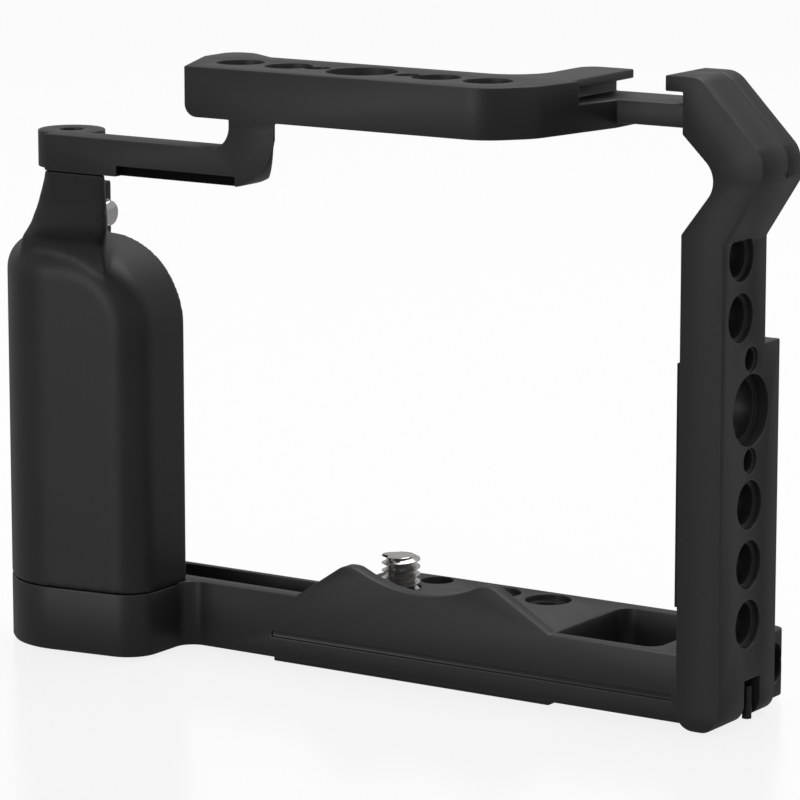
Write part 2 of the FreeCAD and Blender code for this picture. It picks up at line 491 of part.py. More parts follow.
def make_top():
    """Top bar with its bend back to the cold shoe, and the arm that hangs below its left end."""
    body = new_body("top_frame")
    plan = [("bar_left", "bar_front"), ("bar_knee", "bar_front"), ("bar_turn", "bar_turn_y"),
            ("bar_end", "bridge_front"), ("bar_end", "shoe_rear"), ("shoe_block_left", "shoe_rear"),
            ("shoe_block_left", "bar_rear"), ("bar_bulge_x +grip_round", "bar_rear"),
            ("bar_bulge_x", "bar_bulge_y"), ("bar_back_left", "bar_bulge_y"), ("bar_back_left", "bar_back_y")]
    pad(body, "Bar", outline(body, "BarPlan", "XY_Plane", "bar_top", plan), "bar_thick", True)
    soften(body, "BendRounds", "Fillet", upright_at(corners(plan[1:3] + plan[6:7])), "bend_round")
    soften(body, "BarEnds", "Fillet", upright_at(corners(plan[5:6] + plan[8:11])), "bar_round")
    soften(body, "BarLowEnd", "Fillet", lambda edge: len(edge.Vertexes) == 2 and all(
        abs(point.Point.z - amount("bar_top -bar_thick")[0]) < 0.01 and point.Point.x < amount("bar_left")[0] + 0.01
        for point in edge.Vertexes), "corner_round")
    bridge = rectangle(body, "BridgePlan", "XY_Plane", "shoe_floor", "shoe_left", "rail_in", "bridge_front",
                       "bridge_rear")
    pad(body, "Bridge", bridge, "bridge_thick", True)
    slot = rectangle(body, "ShoeSlotFace", "XZ_Plane", "shoe_front", "shoe_left", "rail_in", "shoe_floor",
                     "shoe_floor +shoe_slot")
    pocket(body, "ShoeSlot", slot, "shoe_rear -shoe_front")
    lip_end = rectangle(body, "LipEndFace", "XZ_Plane", "shoe_front", "shoe_reach", "bar_end +hair",
                        "shoe_floor", "bar_top +hair")
    pocket(body, "LipEnd", lip_end, "shoe_rear -shoe_front")
    flank = [("rail_in +kink_reach", "kink_mid_in"), ("rail_out +kink_out", "kink_mid_in"),
             ("rail_out +kink_out", "kink_high_mid"), ("rail_crown", "rail_top"),
             ("rail_in -shoe_lip", "rail_top"), ("rail_in -shoe_lip", "shoe_floor +shoe_slot"),
             ("rail_in", "shoe_floor +shoe_slot"), ("rail_in", "kink_top_in")]
    flank_face = outline(body, "FlankFace", "XZ_Plane", "rail_split", flank)
    pad(body, "Flank", flank_face, "flank_rear -rail_split", True)
    soften(body, "FlankRound", "Fillet", upright_at(corners(flank[2:4]), 1), "kink_round")
    screws = circles(body, "TopScrewCircles", "XZ_Plane", "flank_rear", "small_bore", FLANK_SCREWS)
    pocket(body, "TopScrewBores", screws, "flank_rear -rail_split")
    heads = circles(body, "TopHeadCircles", "XZ_Plane", "flank_rear", "small_head_bore", FLANK_SCREWS)
    pocket(body, "TopHeads", heads, "small_head_high +seam")
    arm = [("arm_left", "arm_low"), ("arm_right", "arm_low"), ("arm_right", "bar_top -bar_thick"),
           ("riser_left", "bar_top -bar_thick"), ("riser_left", "arm_top"), ("arm_left", "arm_top")]
    pad(body, "Arm", outline(body, "ArmFace", "XZ_Plane", "bar_front", arm), "arm_deep", True)
    soften(body, "ArmCorner", "Fillet", upright_at(corners(arm[1:2]), 1), "arm_round")
    soften(body, "ArmInner", "Fillet", upright_at(corners(arm[4:5]), 1), "inner_round")
    slant = outline(body, "RiserSlantPlan", "XY_Plane", "bar_top -bar_thick", [
        ("arm_right -riser_skin", "bar_front +riser_skin"), ("arm_right +hair", "bar_front"),
        ("arm_right +hair", "bar_front +arm_deep +hair"),
        ("arm_right -arm_deep +riser_skin", "bar_front +arm_deep +hair")])
    pocket(body, "RiserSlant", slant, "bar_top -bar_thick -arm_low")
    boss = circles(body, "BossCircle", "XY_Plane", "arm_low", "boss_r", [("boss_x", "boss_y")])
    pad(body, "Boss", boss, "arm_top -arm_low")
    hole = circles(body, "BossHole", "XY_Plane", "arm_low", "boss_bore", [("boss_x", "boss_y")])
    pocket(body, "BossBore", hole, "arm_top -arm_low", True)
    head = circles(body, "BossMouth", "XY_Plane", "arm_top", "boss_mouth", [("boss_x", "boss_y")])
    pocket(body, "BossCounterbore", head, "arm_top -boss_head_low")
    flute = rectangle(body, "FluteFace", "XZ_Plane", "bar_front", "arm_flute_left", "arm_flute_right",
                      "arm_low", "arm_low +arm_flute_high")
    pocket(body, "ArmFlute", flute, "arm_flute_deep")
    rows = [("Quarter", "quarter", ("-bar_near_pitch", "+bar_near_pitch", "-bar_far_pitch", "+bar_far_pitch")),
            ("Pin", "pin", ("-bar_pin_pitch", "+bar_pin_pitch")), ("Middle", "three_eighth", ("",))]
    for tag, size, shifts in rows:
        centres = [(("lens_axis " + shift).strip(), "bar_hole_y") for shift in shifts]
        threaded_row(body, "Bar" + tag, "XY_Plane", "bar_top", size, centres, "bar_thick")
    return body


def make_camera_screw():
    """Captive screw under the camera, and the thin washer that stays on it."""
    seat = "-seat_web -fit"
    thread = rod("screw_thread", "thread_r", "screw_top", "", "", "")
    neck = rod("screw_neck", "neck_r", "seat_web +fit +washer_thick +hair +hair", "", "",
               seat + " -washer_thick -hair")
    tip = doc.addObject("Part::Chamfer", "screw_tip")
    tip.Base = thread
    doc.recompute()
    top = [i + 1 for i, edge in enumerate(thread.Shape.Edges)
           if edge.Vertexes[0].Point.z > 0 and edge.Vertexes[-1].Point.z > 0]
    tip.Edges = [(top[0], float(sheet.lead_in), float(sheet.lead_in))]
    head = rod("screw_head_disc", "screw_head", "screw_head_high", "", "",
               seat + " -washer_thick -hair -screw_head_high")
    slot = block("screw_slot", "-screw_head -hair", "-slot_half",
                 seat + " -washer_thick -hair -screw_head_high -hair",
                 "screw_head +screw_head +hair +hair", "slot_half +slot_half", "slot_deep +hair")
    screw = cut("camera_screw", fuse("screw_body", [tip, neck, head]), slot)
    disc = rod("washer_disc", "washer_r", "washer_thick", "", "", seat + " -washer_thick")
    hole = rod("washer_hole", "thread_r +fit", "washer_thick +hair +hair", "", "",
               seat + " -washer_thick -hair")
    return [screw, cut("screw_washer", disc, hole)]


def make_lug_clamp():
    """Clamp screw in the ear of the neck, and the pad at its tip."""
    shank = rod("lug_shank", "lug_r", "lug_tip -lug_back", "lug_back", "lug_y", "lug_z", "x")
    key = doc.addObject("Part::Prism", "lug_key")
    key.Polygon = 6
    tie(key, "Circumradius", "hex_r")
    tie(key, "Height", "hex_deep +hair")
    key.Placement = FreeCAD.Placement(V(), FreeCAD.Rotation(V(0, 1, 0), 90))
    for prop, terms in zip("xyz", ("lug_back -hair", "lug_y", "lug_z")):
        tie(key, "Placement.Base." + prop, terms)
    return [cut("lug_screw", shank, key),
            rod("lug_pad", "lug_pad_r", "lug_pad_thick", "lug_tip +hair", "lug_y", "lug_z", "x")]


def socket_screw(tag, radius, head, head_high, shank_long, spot, axis, forward):
    """Socket head screw whose head's seat lies at a named spot; forward tells which way the shank points."""
    x, y, z = spot
    seat = {"x": x, "y": y, "z": z}
    over = dict(seat)
    under = dict(seat)
    socket = dict(seat)
    if forward:
        over[axis] += " -" + head_high
        socket[axis] += " -" + head_high + " -hair"
    else:
        under[axis] += " " + minus(shank_long)
        socket[axis] += " +" + head_high + " -key_deep"
    shank = rod(tag + "_shank", radius, shank_long, under["x"], under["y"], under["z"], axis)
    cap = rod(tag + "_cap", head, head_high, over["x"], over["y"], over["z"], axis)
    key = rod(tag + "_key", "small_key", "key_deep +hair", socket["x"], socket["y"], socket["z"], axis)
    return cut(tag, fuse(tag + "_body", [shank, cap]), key)


def minus(terms):
    """The same sum with every sign turned round."""
    flipped = []
    for term in terms.split():
        flipped.append("+" + term[1:] if term.startswith("-") else "-" + term.lstrip("+"))
    return " ".join(flipped)


def make_fasteners():
    """Screws and dowel pins at the four seams, each kind under one name."""
    rail = [socket_screw("rail_screw_%d" % i, "small_r", "small_head", "small_head_high",
                         "rail_in +rail_grip -bay_right -small_head_high -seam",
                         ("bay_right +small_head_high +seam", y, z), "x", True)
            for i, (y, z) in enumerate(RAIL_SCREWS)]
    handle = [socket_screw("handle_screw_%d" % i, "small_r", "small_head", "small_head_high",
                           "handle_grip +base_thick -small_head_high -seam",
                           (x, y, "-base_thick +small_head_high +seam"), "z", True)
              for i, (x, y) in enumerate(HANDLE_SCREWS)]
    top = [socket_screw("top_screw_%d" % i, "small_r", "small_head", "small_head_high",
                        "flank_rear -rail_split -small_head_high -seam +rail_grip",
                        (x, "flank_rear -small_head_high -seam", z), "y", False)
           for i, (x, z) in enumerate(FLANK_SCREWS)]
    arm = socket_screw("arm_screw", "boss_screw", "boss_head", "boss_head_high",
                       "boss_head_low -boss_screw_low", ("boss_x", "boss_y", "boss_head_low"), "z", False)
    rail_pins = [rod("rail_pin_%d" % i, "dowel_r", "dowel_long", "rail_in -dowel_half", y, z, "x")
                 for i, (y, z) in enumerate(RAIL_PINS)]
    handle_pins = [rod("handle_pin_%d" % i, "dowel_r", "dowel_long", x, y, "-dowel_half -seam")
                   for i, (x, y) in enumerate(HANDLE_PINS)]
    return [group("rail_screws", rail), group("handle_screws", handle), group("top_screws", top), arm,
            group("rail_dowels", rail_pins), group("handle_dowels", handle_pins)]


def make_pads():
    """Thin soft pads that keep the metal off the camera, and the bar across the strap slot."""
    inner = "base_front +lip_wall"
    lip = [block("lip_pad_%d" % i, x, inner, "pad_lift", "lip_pad_long", "pad_thick", "lip_pad_high")
           for i, x in enumerate(("lip_peak_left -pad_lift", "lip_peak_right +pad_lift -lip_pad_long"))]
    rail = block("rail_pad", "rail_in -pad_thick", "rail_front +rail_pad_in", "rail_pad_low", "pad_thick",
                 "rail_pad_wide", "rail_pad_high")
    pin = rod("strap_pin", "strap_pin_r", "strap_high -strap_pin_r", "rail_out -strap_pin_r -strap_pin_r",
              "strap_mid_y -strap_pin_r -strap_pin_r", "strap_mid_z -strap_high +strap_pin_r")
    return [group("lip_pads", lip), rail, pin]


check_and_save([make_base(), make_rail(), make_handle(), make_top()] + make_camera_screw() + make_lug_clamp()
               + make_fasteners() + make_pads())
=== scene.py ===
# %% [markdown]
# A camera cage: a small aluminium frame, anodised black, that a camera is screwed into.
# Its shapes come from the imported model, which is the fixed frame of this scene. Here it gets the
# softened edges, threads, screws and finishes that make it look machined.

import math

import bpy
from mathutils import Matrix, Vector


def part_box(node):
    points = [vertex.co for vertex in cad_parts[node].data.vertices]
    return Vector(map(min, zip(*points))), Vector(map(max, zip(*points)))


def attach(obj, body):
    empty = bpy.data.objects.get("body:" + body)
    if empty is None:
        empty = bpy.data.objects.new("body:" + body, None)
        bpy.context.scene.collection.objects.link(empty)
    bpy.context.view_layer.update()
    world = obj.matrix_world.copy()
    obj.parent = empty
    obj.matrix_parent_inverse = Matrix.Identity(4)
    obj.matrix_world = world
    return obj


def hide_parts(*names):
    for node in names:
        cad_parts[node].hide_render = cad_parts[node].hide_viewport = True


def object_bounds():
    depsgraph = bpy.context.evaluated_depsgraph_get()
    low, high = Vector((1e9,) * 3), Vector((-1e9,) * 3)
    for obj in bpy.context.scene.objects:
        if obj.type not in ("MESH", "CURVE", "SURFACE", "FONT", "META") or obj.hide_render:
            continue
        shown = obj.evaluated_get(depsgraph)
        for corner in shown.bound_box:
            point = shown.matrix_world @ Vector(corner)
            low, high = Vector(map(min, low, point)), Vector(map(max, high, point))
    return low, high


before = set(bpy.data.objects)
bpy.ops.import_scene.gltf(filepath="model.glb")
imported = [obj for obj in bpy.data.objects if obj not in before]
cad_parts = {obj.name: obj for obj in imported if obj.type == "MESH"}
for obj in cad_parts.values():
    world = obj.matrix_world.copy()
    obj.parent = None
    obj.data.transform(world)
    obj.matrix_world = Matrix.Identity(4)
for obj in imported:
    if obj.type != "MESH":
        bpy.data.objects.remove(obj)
cad_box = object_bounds()
MM = 0.001
print("nodes:", sorted(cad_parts))

# %% [markdown]
# The photograph was taken with a long lens, a little above the cage and to the right of its front.
# A camera could be placed by eye, but its place was worked out from the corners of the base and the
# top bar, so the frame is looked at from the same point. The lens is long, which keeps the upright
# edges upright.

# %% Camera
YAW, PITCH = math.radians(33.3), math.radians(10.8)
DISTANCE = 722.4 * MM
FOCAL_IN_PIXELS = 4391.0
PICTURE_WIDE = 800
SENSOR = 36.0
ORIGIN_RIGHT, ORIGIN_DOWN = 1.0, 186.0


def deselect_all():
    if bpy.context.object and bpy.context.object.mode != "OBJECT":
        bpy.ops.object.mode_set(mode="OBJECT")
    bpy.ops.object.select_all(action="DESELECT")


def point_camera():
    """Puts the camera where the photograph was taken from."""
    look = Vector((-math.sin(YAW) * math.cos(PITCH), math.cos(YAW) * math.cos(PITCH), -math.sin(PITCH)))
    right = Vector((math.cos(YAW), math.sin(YAW), 0))
    up = right.cross(look)
    place = -look * DISTANCE - right * (ORIGIN_RIGHT / FOCAL_IN_PIXELS * DISTANCE)
    place += up * (ORIGIN_DOWN / FOCAL_IN_PIXELS * DISTANCE)
    deselect_all()
    bpy.ops.object.camera_add(location=place)
    camera = bpy.context.object
    camera.name = "photo_camera"
    camera.rotation_euler = Matrix((right, up, -look)).transposed().to_euler()
    camera.data.sensor_width = SENSOR
    camera.data.lens = FOCAL_IN_PIXELS * SENSOR / PICTURE_WIDE
    bpy.context.scene.camera = camera
    return camera


print("camera at", [round(v, 4) for v in point_camera().location])

# %% [markdown]
# The cage stands on a white sweep. A plain white floor would turn grey around a black object, so
# the sheet glows white to the camera, with a weak gloss that shows a faint reflection under the
# base. A large lamp from above and behind gives the upper faces their grey, one in front of the
# cage lifts the black fronts a little, and a weak one reaches the right side.

# %% Floor and lights
FLOOR_SIZE = 6.0
FLOOR_HAIR = 0.02 * MM
BOUNCE, SWEEP_WHITE = 0.16, 0.84
GLOSS_ROUGH, GLOSS_GREY, MATT_GREY = 0.2, 0.16, 0.1
ROOM_LIGHT, ROOM_SEEN = 0.42, 1.15


def grey(level):
    """A colour without a hue."""
    return (level, level, level, 1)


def white_sweep():
    """Glowing white to the camera, with a weak gloss, and dimmer for what it throws back."""
    sheet = bpy.data.materials.new("white_sweep")
    sheet.use_nodes = True
    nodes, links = sheet.node_tree.nodes, sheet.node_tree.links
    nodes.remove(nodes["Principled BSDF"])
    path = nodes.new("ShaderNodeLightPath")
    brightness = nodes.new("ShaderNodeMapRange")
    brightness.inputs["To Min"].default_value = BOUNCE
    brightness.inputs["To Max"].default_value = SWEEP_WHITE
    glow = nodes.new("ShaderNodeEmission")
    gloss = nodes.new("ShaderNodeBsdfGlossy")
    gloss.inputs["Roughness"].default_value = GLOSS_ROUGH
    gloss.inputs["Color"].default_value = grey(GLOSS_GREY)
    matt = nodes.new("ShaderNodeBsdfDiffuse")
    matt.inputs["Color"].default_value = grey(MATT_GREY)
    first, second = nodes.new("ShaderNodeAddShader"), nodes.new("ShaderNodeAddShader")
    links.new(path.outputs["Is Camera Ray"], brightness.inputs["Value"])
    links.new(brightness.outputs[0], glow.inputs["Strength"])
    links.new(glow.outputs[0], first.inputs[0])
    links.new(gloss.outputs[0], first.inputs[1])
    links.new(first.outputs[0], second.inputs[0])
    links.new(matt.outputs[0], second.inputs[1])
    links.new(second.outputs[0], nodes["Material Output"].inputs["Surface"])
    return sheet


def add_floor():
    deselect_all()
    bpy.ops.mesh.primitive_plane_add(size=FLOOR_SIZE, location=(0, 0, cad_box[0][2] - FLOOR_HAIR))
    floor = bpy.context.object
    floor.name = "floor"
    floor.data.materials.append(white_sweep())


def add_lamp(name, place, target, size, watts):
    deselect_all()
    aim = (Vector(place) - Vector(target)).to_track_quat("Z", "Y").to_euler()
    bpy.ops.object.light_add(type="AREA", location=place, rotation=aim)
    lamp = bpy.context.object
    lamp.name = name
    lamp.data.shape = "RECTANGLE"
    lamp.data.size, lamp.data.size_y = size
    lamp.data.energy = watts


def light_room():
    """White to the camera, and dimmer for what falls on the cage."""
    world = bpy.data.worlds.new("white_room")
    world.use_nodes = True
    nodes, links = world.node_tree.nodes, world.node_tree.links
    back = nodes["Background"]
    back.inputs["Color"].default_value = grey(1)
    back.inputs["Strength"].default_value = ROOM_LIGHT
    seen = nodes.new("ShaderNodeBackground")
    seen.inputs["Color"].default_value = grey(1)
    seen.inputs["Strength"].default_value = ROOM_SEEN
    path = nodes.new("ShaderNodeLightPath")
    either = nodes.new("ShaderNodeMixShader")
    links.new(path.outputs["Is Camera Ray"], either.inputs[0])
    links.new(back.outputs[0], either.inputs[1])
    links.new(seen.outputs[0], either.inputs[2])
    links.new(either.outputs[0], nodes["World Output"].inputs["Surface"])
    bpy.context.scene.world = world


MIDDLE = (0, -0.01, 0.04)
add_floor()
light_room()
add_lamp("lamp_above", (0.05, 0.35, 0.9), MIDDLE, (0.9, 0.7), 3.9)
add_lamp("lamp_left", (-0.25, -1.1, 0.16), MIDDLE, (0.7, 0.5), 2.6)
add_lamp("lamp_right", (0.9, -0.1, 0.6), MIDDLE, (0.4, 0.8), 0.3)
bpy.context.scene.view_settings.view_transform = "Standard"
print("floor at", round(cad_box[0][2] / MM, 2), "mm")

# %% [markdown]
# Blasted and anodised aluminium isn't one flat black. Tiny glass beads leave a fine grain, the dye
# takes a little unevenly, and light catches the grain. A picture could be wrapped round each piece,
# but it would stretch at the corners. So one group of nodes makes both patterns from the piece's own
# coordinates, and a finish has the same grain on every piece.

# %% Grain group
def build_grain():
    """Fine grain and broad clouding, both from 0 to 1, on Object coordinates."""
    group = bpy.data.node_groups.new("grain_and_clouding", "ShaderNodeTree")
    for name, value in (("Grain scale", 5000.0), ("Cloud scale", 60.0)):
        socket = group.interface.new_socket(name=name, in_out="INPUT", socket_type="NodeSocketFloat")
        socket.default_value = value
    for name in ("Grain", "Cloud"):
        group.interface.new_socket(name=name, in_out="OUTPUT", socket_type="NodeSocketFloat")
    nodes, links = group.nodes, group.links
    given = nodes.new("NodeGroupInput")
    made = nodes.new("NodeGroupOutput")
    where = nodes.new("ShaderNodeTexCoord")
    for tag, detail in (("Grain", 2.0), ("Cloud", 4.0)):
        noise = nodes.new("ShaderNodeTexNoise")
        noise.inputs["Detail"].default_value = detail
        links.new(where.outputs["Object"], noise.inputs["Vector"])
        links.new(given.outputs[tag + " scale"], noise.inputs["Scale"])
        links.new(noise.outputs["Fac"], made.inputs[tag])
    return group


GRAIN = build_grain()
print("group", GRAIN.name, "made")

# %% [markdown]
# Each finish has its own Principled shader. Its plain numbers sit on the shader's sockets, and the
# group only varies the colour, the roughness and the bump. The broken edges of the black frame are
# a second finish, a little lighter: partly wear, where the blasting and handling thin the dye, and
# partly a painted highlight along the edges. The flute under the arm gets a third, a near-black
# painted shade, since no light comes back out of it.

# %% Finishes
DARKEST_AT, LIGHTEST_AT = 0.12, 0.42
BUMP_STRENGTH = 0.5


def finish(name, dark, light, metallic, rough, grain_scale, grain_deep, specular=0.5):
    """A material whose colour drifts from dark to light, with a fine grain."""
    material = bpy.data.materials.new(name)
    material.use_nodes = True
    nodes, links = material.node_tree.nodes, material.node_tree.links
    shader = nodes["Principled BSDF"]
    shader.inputs["Metallic"].default_value = metallic
    shader.inputs["Specular IOR Level"].default_value = specular
    grain = nodes.new("ShaderNodeGroup")
    grain.node_tree = GRAIN
    grain.inputs["Grain scale"].default_value = grain_scale
    both = nodes.new("ShaderNodeMath")
    both.operation = "MULTIPLY"
    links.new(grain.outputs["Grain"], both.inputs[0])
    links.new(grain.outputs["Cloud"], both.inputs[1])
    colour = nodes.new("ShaderNodeValToRGB")
    colour.color_ramp.elements[0].position = DARKEST_AT
    colour.color_ramp.elements[1].position = LIGHTEST_AT
    colour.color_ramp.elements[0].color = (*dark, 1)
    colour.color_ramp.elements[1].color = (*light, 1)
    links.new(both.outputs[0], colour.inputs[0])
    links.new(colour.outputs[0], shader.inputs["Base Color"])
    spread = nodes.new("ShaderNodeMapRange")
    spread.inputs["To Min"].default_value = rough[0]
    spread.inputs["To Max"].default_value = rough[1]
    links.new(grain.outputs["Cloud"], spread.inputs["Value"])
    links.new(spread.outputs[0], shader.inputs["Roughness"])
    bump = nodes.new("ShaderNodeBump")
    bump.inputs["Strength"].default_value = BUMP_STRENGTH
    bump.inputs["Distance"].default_value = grain_deep
    links.new(grain.outputs["Grain"], bump.inputs["Height"])
    links.new(bump.outputs[0], shader.inputs["Normal"])
    return material


FRAME = finish("blasted_black", (0.0105, 0.0105, 0.011), (0.0155, 0.0155, 0.016), metallic=0.0,
               rough=(0.38, 0.5), grain_scale=5200, grain_deep=0.012 * MM, specular=0.45)
# Lighter black for the broken edges: partly wear, partly a painted highlight.
EDGE_WEAR_AND_HIGHLIGHT = finish("worn_edge_painted_highlight", (0.016, 0.016, 0.0165), (0.03, 0.03, 0.031), metallic=0.0,
              rough=(0.34, 0.46), grain_scale=5200, grain_deep=0.008 * MM)
SCREWS = finish("black_oxide_steel", (0.006, 0.006, 0.0065), (0.012, 0.012, 0.0125), metallic=0.1,
                rough=(0.25, 0.36), grain_scale=3500, grain_deep=0.004 * MM)
# Near-black painted shade for the flute under the arm, where no light comes back out.
PAINTED_RECESS_SHADE = finish("painted_recess_shade", (0.001, 0.001, 0.001), (0.0018, 0.0018, 0.0018), metallic=0.0,
                rough=(0.6, 0.75), grain_scale=5200, grain_deep=0.008 * MM, specular=0.08)
STEEL = finish("bright_turned_steel", (0.62, 0.61, 0.6), (0.8, 0.79, 0.77), metallic=1.0,
               rough=(0.14, 0.26), grain_scale=2600, grain_deep=0.003 * MM)
NYLON = finish("white_nylon", (0.55, 0.54, 0.5), (0.66, 0.65, 0.61), metallic=0.0,
               rough=(0.42, 0.55), grain_scale=2000, grain_deep=0.01 * MM)
RUBBER = finish("soft_black_pad", (0.012, 0.012, 0.012), (0.02, 0.02, 0.02), metallic=0.0,
                rough=(0.75, 0.88), grain_scale=3000, grain_deep=0.03 * MM, specular=0.3)
print("finishes:", len(bpy.data.materials))

# %% [markdown]
# The base, the rail and the top frame are milled from plate, and every edge is broken by a small
# radius, which is what draws the thin bright lines in the photograph. The CAD solids have sharp
# edges. A fillet on every CAD edge would be slow and would fail at some corners. Instead a copy of
# each solid is merged into one skin, its flat faces are joined and split anew, and a bevel of even
# width rounds every sharp edge. The bevel's own faces take the lighter edge finish: partly wear,
# and partly a painted highlight that adds to the bright lines.

# %% Softened copies
MERGE_GAP = 0.001 * MM
FLAT_WITHIN = math.radians(0.6)
SHARPER_THAN = math.radians(28)
SMOOTH_BELOW = math.radians(40)
BROKEN_EDGE, EDGE_STEPS = 0.22 * MM, 2
EDGE_SLOT, PAINTED_SHADE_SLOT = 1, 2
# Two corners of a box round the flute under the arm, whose faces get the near-black painted shade
FLUTE_LOW, FLUTE_HIGH = Vector((-27.7, -39.9, 70.2)) * MM, Vector((-4.4, -36.0, 72.3)) * MM


def lone(thing):
    """Makes one object the only one selected."""
    deselect_all()
    thing.select_set(True)
    bpy.context.view_layer.objects.active = thing


def merged_copy(node, name):
    """One skin from the loose triangles of a CAD node."""
    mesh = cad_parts[node].data.copy()
    piece = bpy.data.objects.new(name, mesh)
    bpy.context.scene.collection.objects.link(piece)
    mesh.name = name
    mesh.materials.clear()
    lone(piece)
    bpy.ops.mesh.customdata_custom_splitnormals_clear()
    bpy.ops.object.mode_set(mode="EDIT")
    bpy.ops.mesh.select_all(action="SELECT")
    bpy.ops.mesh.remove_doubles(threshold=MERGE_GAP)
    bpy.ops.mesh.mark_sharp(clear=True)
    bpy.ops.object.mode_set(mode="OBJECT")
    return piece


def join_flats(piece):
    """Joins each flat face and splits it anew, since one face with holes would close them."""
    lone(piece)
    bpy.ops.object.mode_set(mode="EDIT")
    bpy.ops.mesh.select_all(action="SELECT")
    bpy.ops.mesh.dissolve_limited(angle_limit=FLAT_WITHIN, use_dissolve_boundaries=False)
    bpy.ops.mesh.quads_convert_to_tris(ngon_method="BEAUTY")
    bpy.ops.object.mode_set(mode="OBJECT")


def apply_all(piece):
    """Applies the piece's modifiers in their order."""
    lone(piece)
    for modifier in list(piece.modifiers):
        bpy.ops.object.modifier_apply(modifier=modifier.name)


def break_edges(piece):
    """Rounds every sharp edge of a frame piece."""
    bevel = piece.modifiers.new("broken_edges", "BEVEL")
    bevel.width = BROKEN_EDGE
    bevel.segments = EDGE_STEPS
    bevel.limit_method = "ANGLE"
    bevel.angle_limit = SHARPER_THAN
    bevel.use_clamp_overlap = False
    bevel.loop_slide = False
    # The bevel's faces take the lighter edge colour: partly wear, partly a painted highlight.
    bevel.material = EDGE_SLOT
    apply_all(piece)
    bpy.ops.object.shade_smooth_by_angle(angle=SMOOTH_BELOW)


def settle(piece, body, slot_name, *nodes):
    """The piece rides on its body and stands for its CAD nodes."""
    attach(piece, body)
    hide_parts(*nodes)
    print("%-22s %6d faces" % (piece.name, len(piece.data.polygons)))


def paint_recess_shade(piece, low, high):
    """Gives the faces that lie wholly between two corners the near-black painted shade of the deep
    recesses.
    """
    places = [vertex.co for vertex in piece.data.vertices]
    inside = [face for face in piece.data.polygons
              if all(low[axis] < places[index][axis] < high[axis]
                     for index in face.vertices for axis in range(3))]
    for face in inside:
        face.material_index = PAINTED_SHADE_SLOT
    print(piece.name, "has", len(inside), "deep black faces")


for part in ("base_plate", "side_rail", "top_frame"):
    skin = merged_copy(part, part + "_softened")
    join_flats(skin)
    for surface in (FRAME, EDGE_WEAR_AND_HIGHLIGHT, PAINTED_RECESS_SHADE):
        skin.data.materials.append(surface)
    break_edges(skin)
    settle(skin, "cage", "black_frame", part)
# The flute under the arm gets the near-black painted shade.
paint_recess_shade(bpy.data.objects["top_frame_softened"], FLUTE_LOW, FLUTE_HIGH)

# %% [markdown]
# The grip and its neck are one sculpted piece: a column for the fingers, drawn in under the arm.
# It could be modelled afresh with a subdivision surface, but it has to keep the CAD solid's size
# and seats. So a copy of the solid is remade as an even grid of small faces, and those of the neck
# are relaxed, so that it flows as a milled free form does. The column only gets enough to round its
# edges.

# %% Grip and neck
VOXEL = 0.42 * MM
NECK_FROM, NECK_FULL = 51 * MM, 56 * MM
NECK_TOP, NECK_BACK, NECK_FADE = 70.3 * MM, -16.5 * MM, 2 * MM
NECK_FLOW, NECK_ROUNDS = 0.6, 60
EDGE_FLOW, EDGE_ROUNDS = 0.5, 4


def remade_grip():
    """The grip as an even grid, with a flowing neck and rounded edges."""
    grip = merged_copy("grip_handle", "grip_softened")
    grip.data.materials.append(FRAME)
    grid = grip.modifiers.new("even_grid", "REMESH")
    grid.mode = "VOXEL"
    grid.voxel_size = VOXEL
    grid.adaptivity = 0.0
    apply_all(grip)
    neck = grip.vertex_groups.new(name="neck")
    for vertex in grip.data.vertices:
        share = (vertex.co.z - NECK_FROM) / (NECK_FULL - NECK_FROM)
        at_arm = (NECK_TOP - vertex.co.z) / NECK_FADE
        behind = (NECK_BACK - vertex.co.y) / NECK_FADE
        weight = max(0.0, min(share, at_arm, behind, 1.0))
        if weight > 0:
            neck.add([vertex.index], weight, "REPLACE")
    flow = grip.modifiers.new("neck_flow", "SMOOTH")
    flow.factor = NECK_FLOW
    flow.iterations = NECK_ROUNDS
    flow.vertex_group = "neck"
    edges = grip.modifiers.new("soft_edges", "SMOOTH")
    edges.factor = EDGE_FLOW
    edges.iterations = EDGE_ROUNDS
    apply_all(grip)
    bpy.ops.object.shade_smooth()
    return grip


settle(remade_grip(), "cage", "black_frame", "grip_handle")

# %% [markdown]
# The camera is held by one bright steel screw with a 1/4 inch thread. A bump in the material could
# stand for the thread, but its outline shows against the white, so it is real: a V-shaped line, one
# pitch tall, that a Screw modifier winds round the axis, as a cut thread is made. Under the plate
# the screw has a broad turned head with a coin slot.

# %% Camera screw
THREAD_PITCH = 1.27 * MM
THREAD_RADIUS = 3.175 * MM
# The depth and the corners of a thread, as shares of its pitch
THREAD_DEPTH = 0.61
FLANK_FROM, CREST_FROM, CREST_TO, FLANK_TO = 0.12, 0.44, 0.56, 0.88
THREAD_STEPS, THREAD_MERGE = 56, 0.002 * MM
BIG_STEPS, CAP_STEPS, LUG_STEPS = 96, 64, 48
AXIS_MERGE = 0.0005 * MM
ROUND_BELOW = math.radians(32)


def profile(name, points):
    """An open line of points in the XZ plane, drawn by extruding its first point."""
    deselect_all()
    bpy.ops.mesh.primitive_plane_add(size=MM, location=(0, 0, 0))
    line = bpy.context.object
    line.name = name
    bpy.ops.object.mode_set(mode="EDIT")
    bpy.ops.mesh.select_all(action="SELECT")
    bpy.ops.mesh.merge(type="CENTER")
    bpy.ops.transform.translate(value=(points[0][0], 0, points[0][1]))
    for (x0, z0), (x1, z1) in zip(points, points[1:]):
        bpy.ops.mesh.extrude_vertices_move(TRANSFORM_OT_translate={"value": (x1 - x0, 0, z1 - z0)})
    bpy.ops.object.mode_set(mode="OBJECT")
    return line


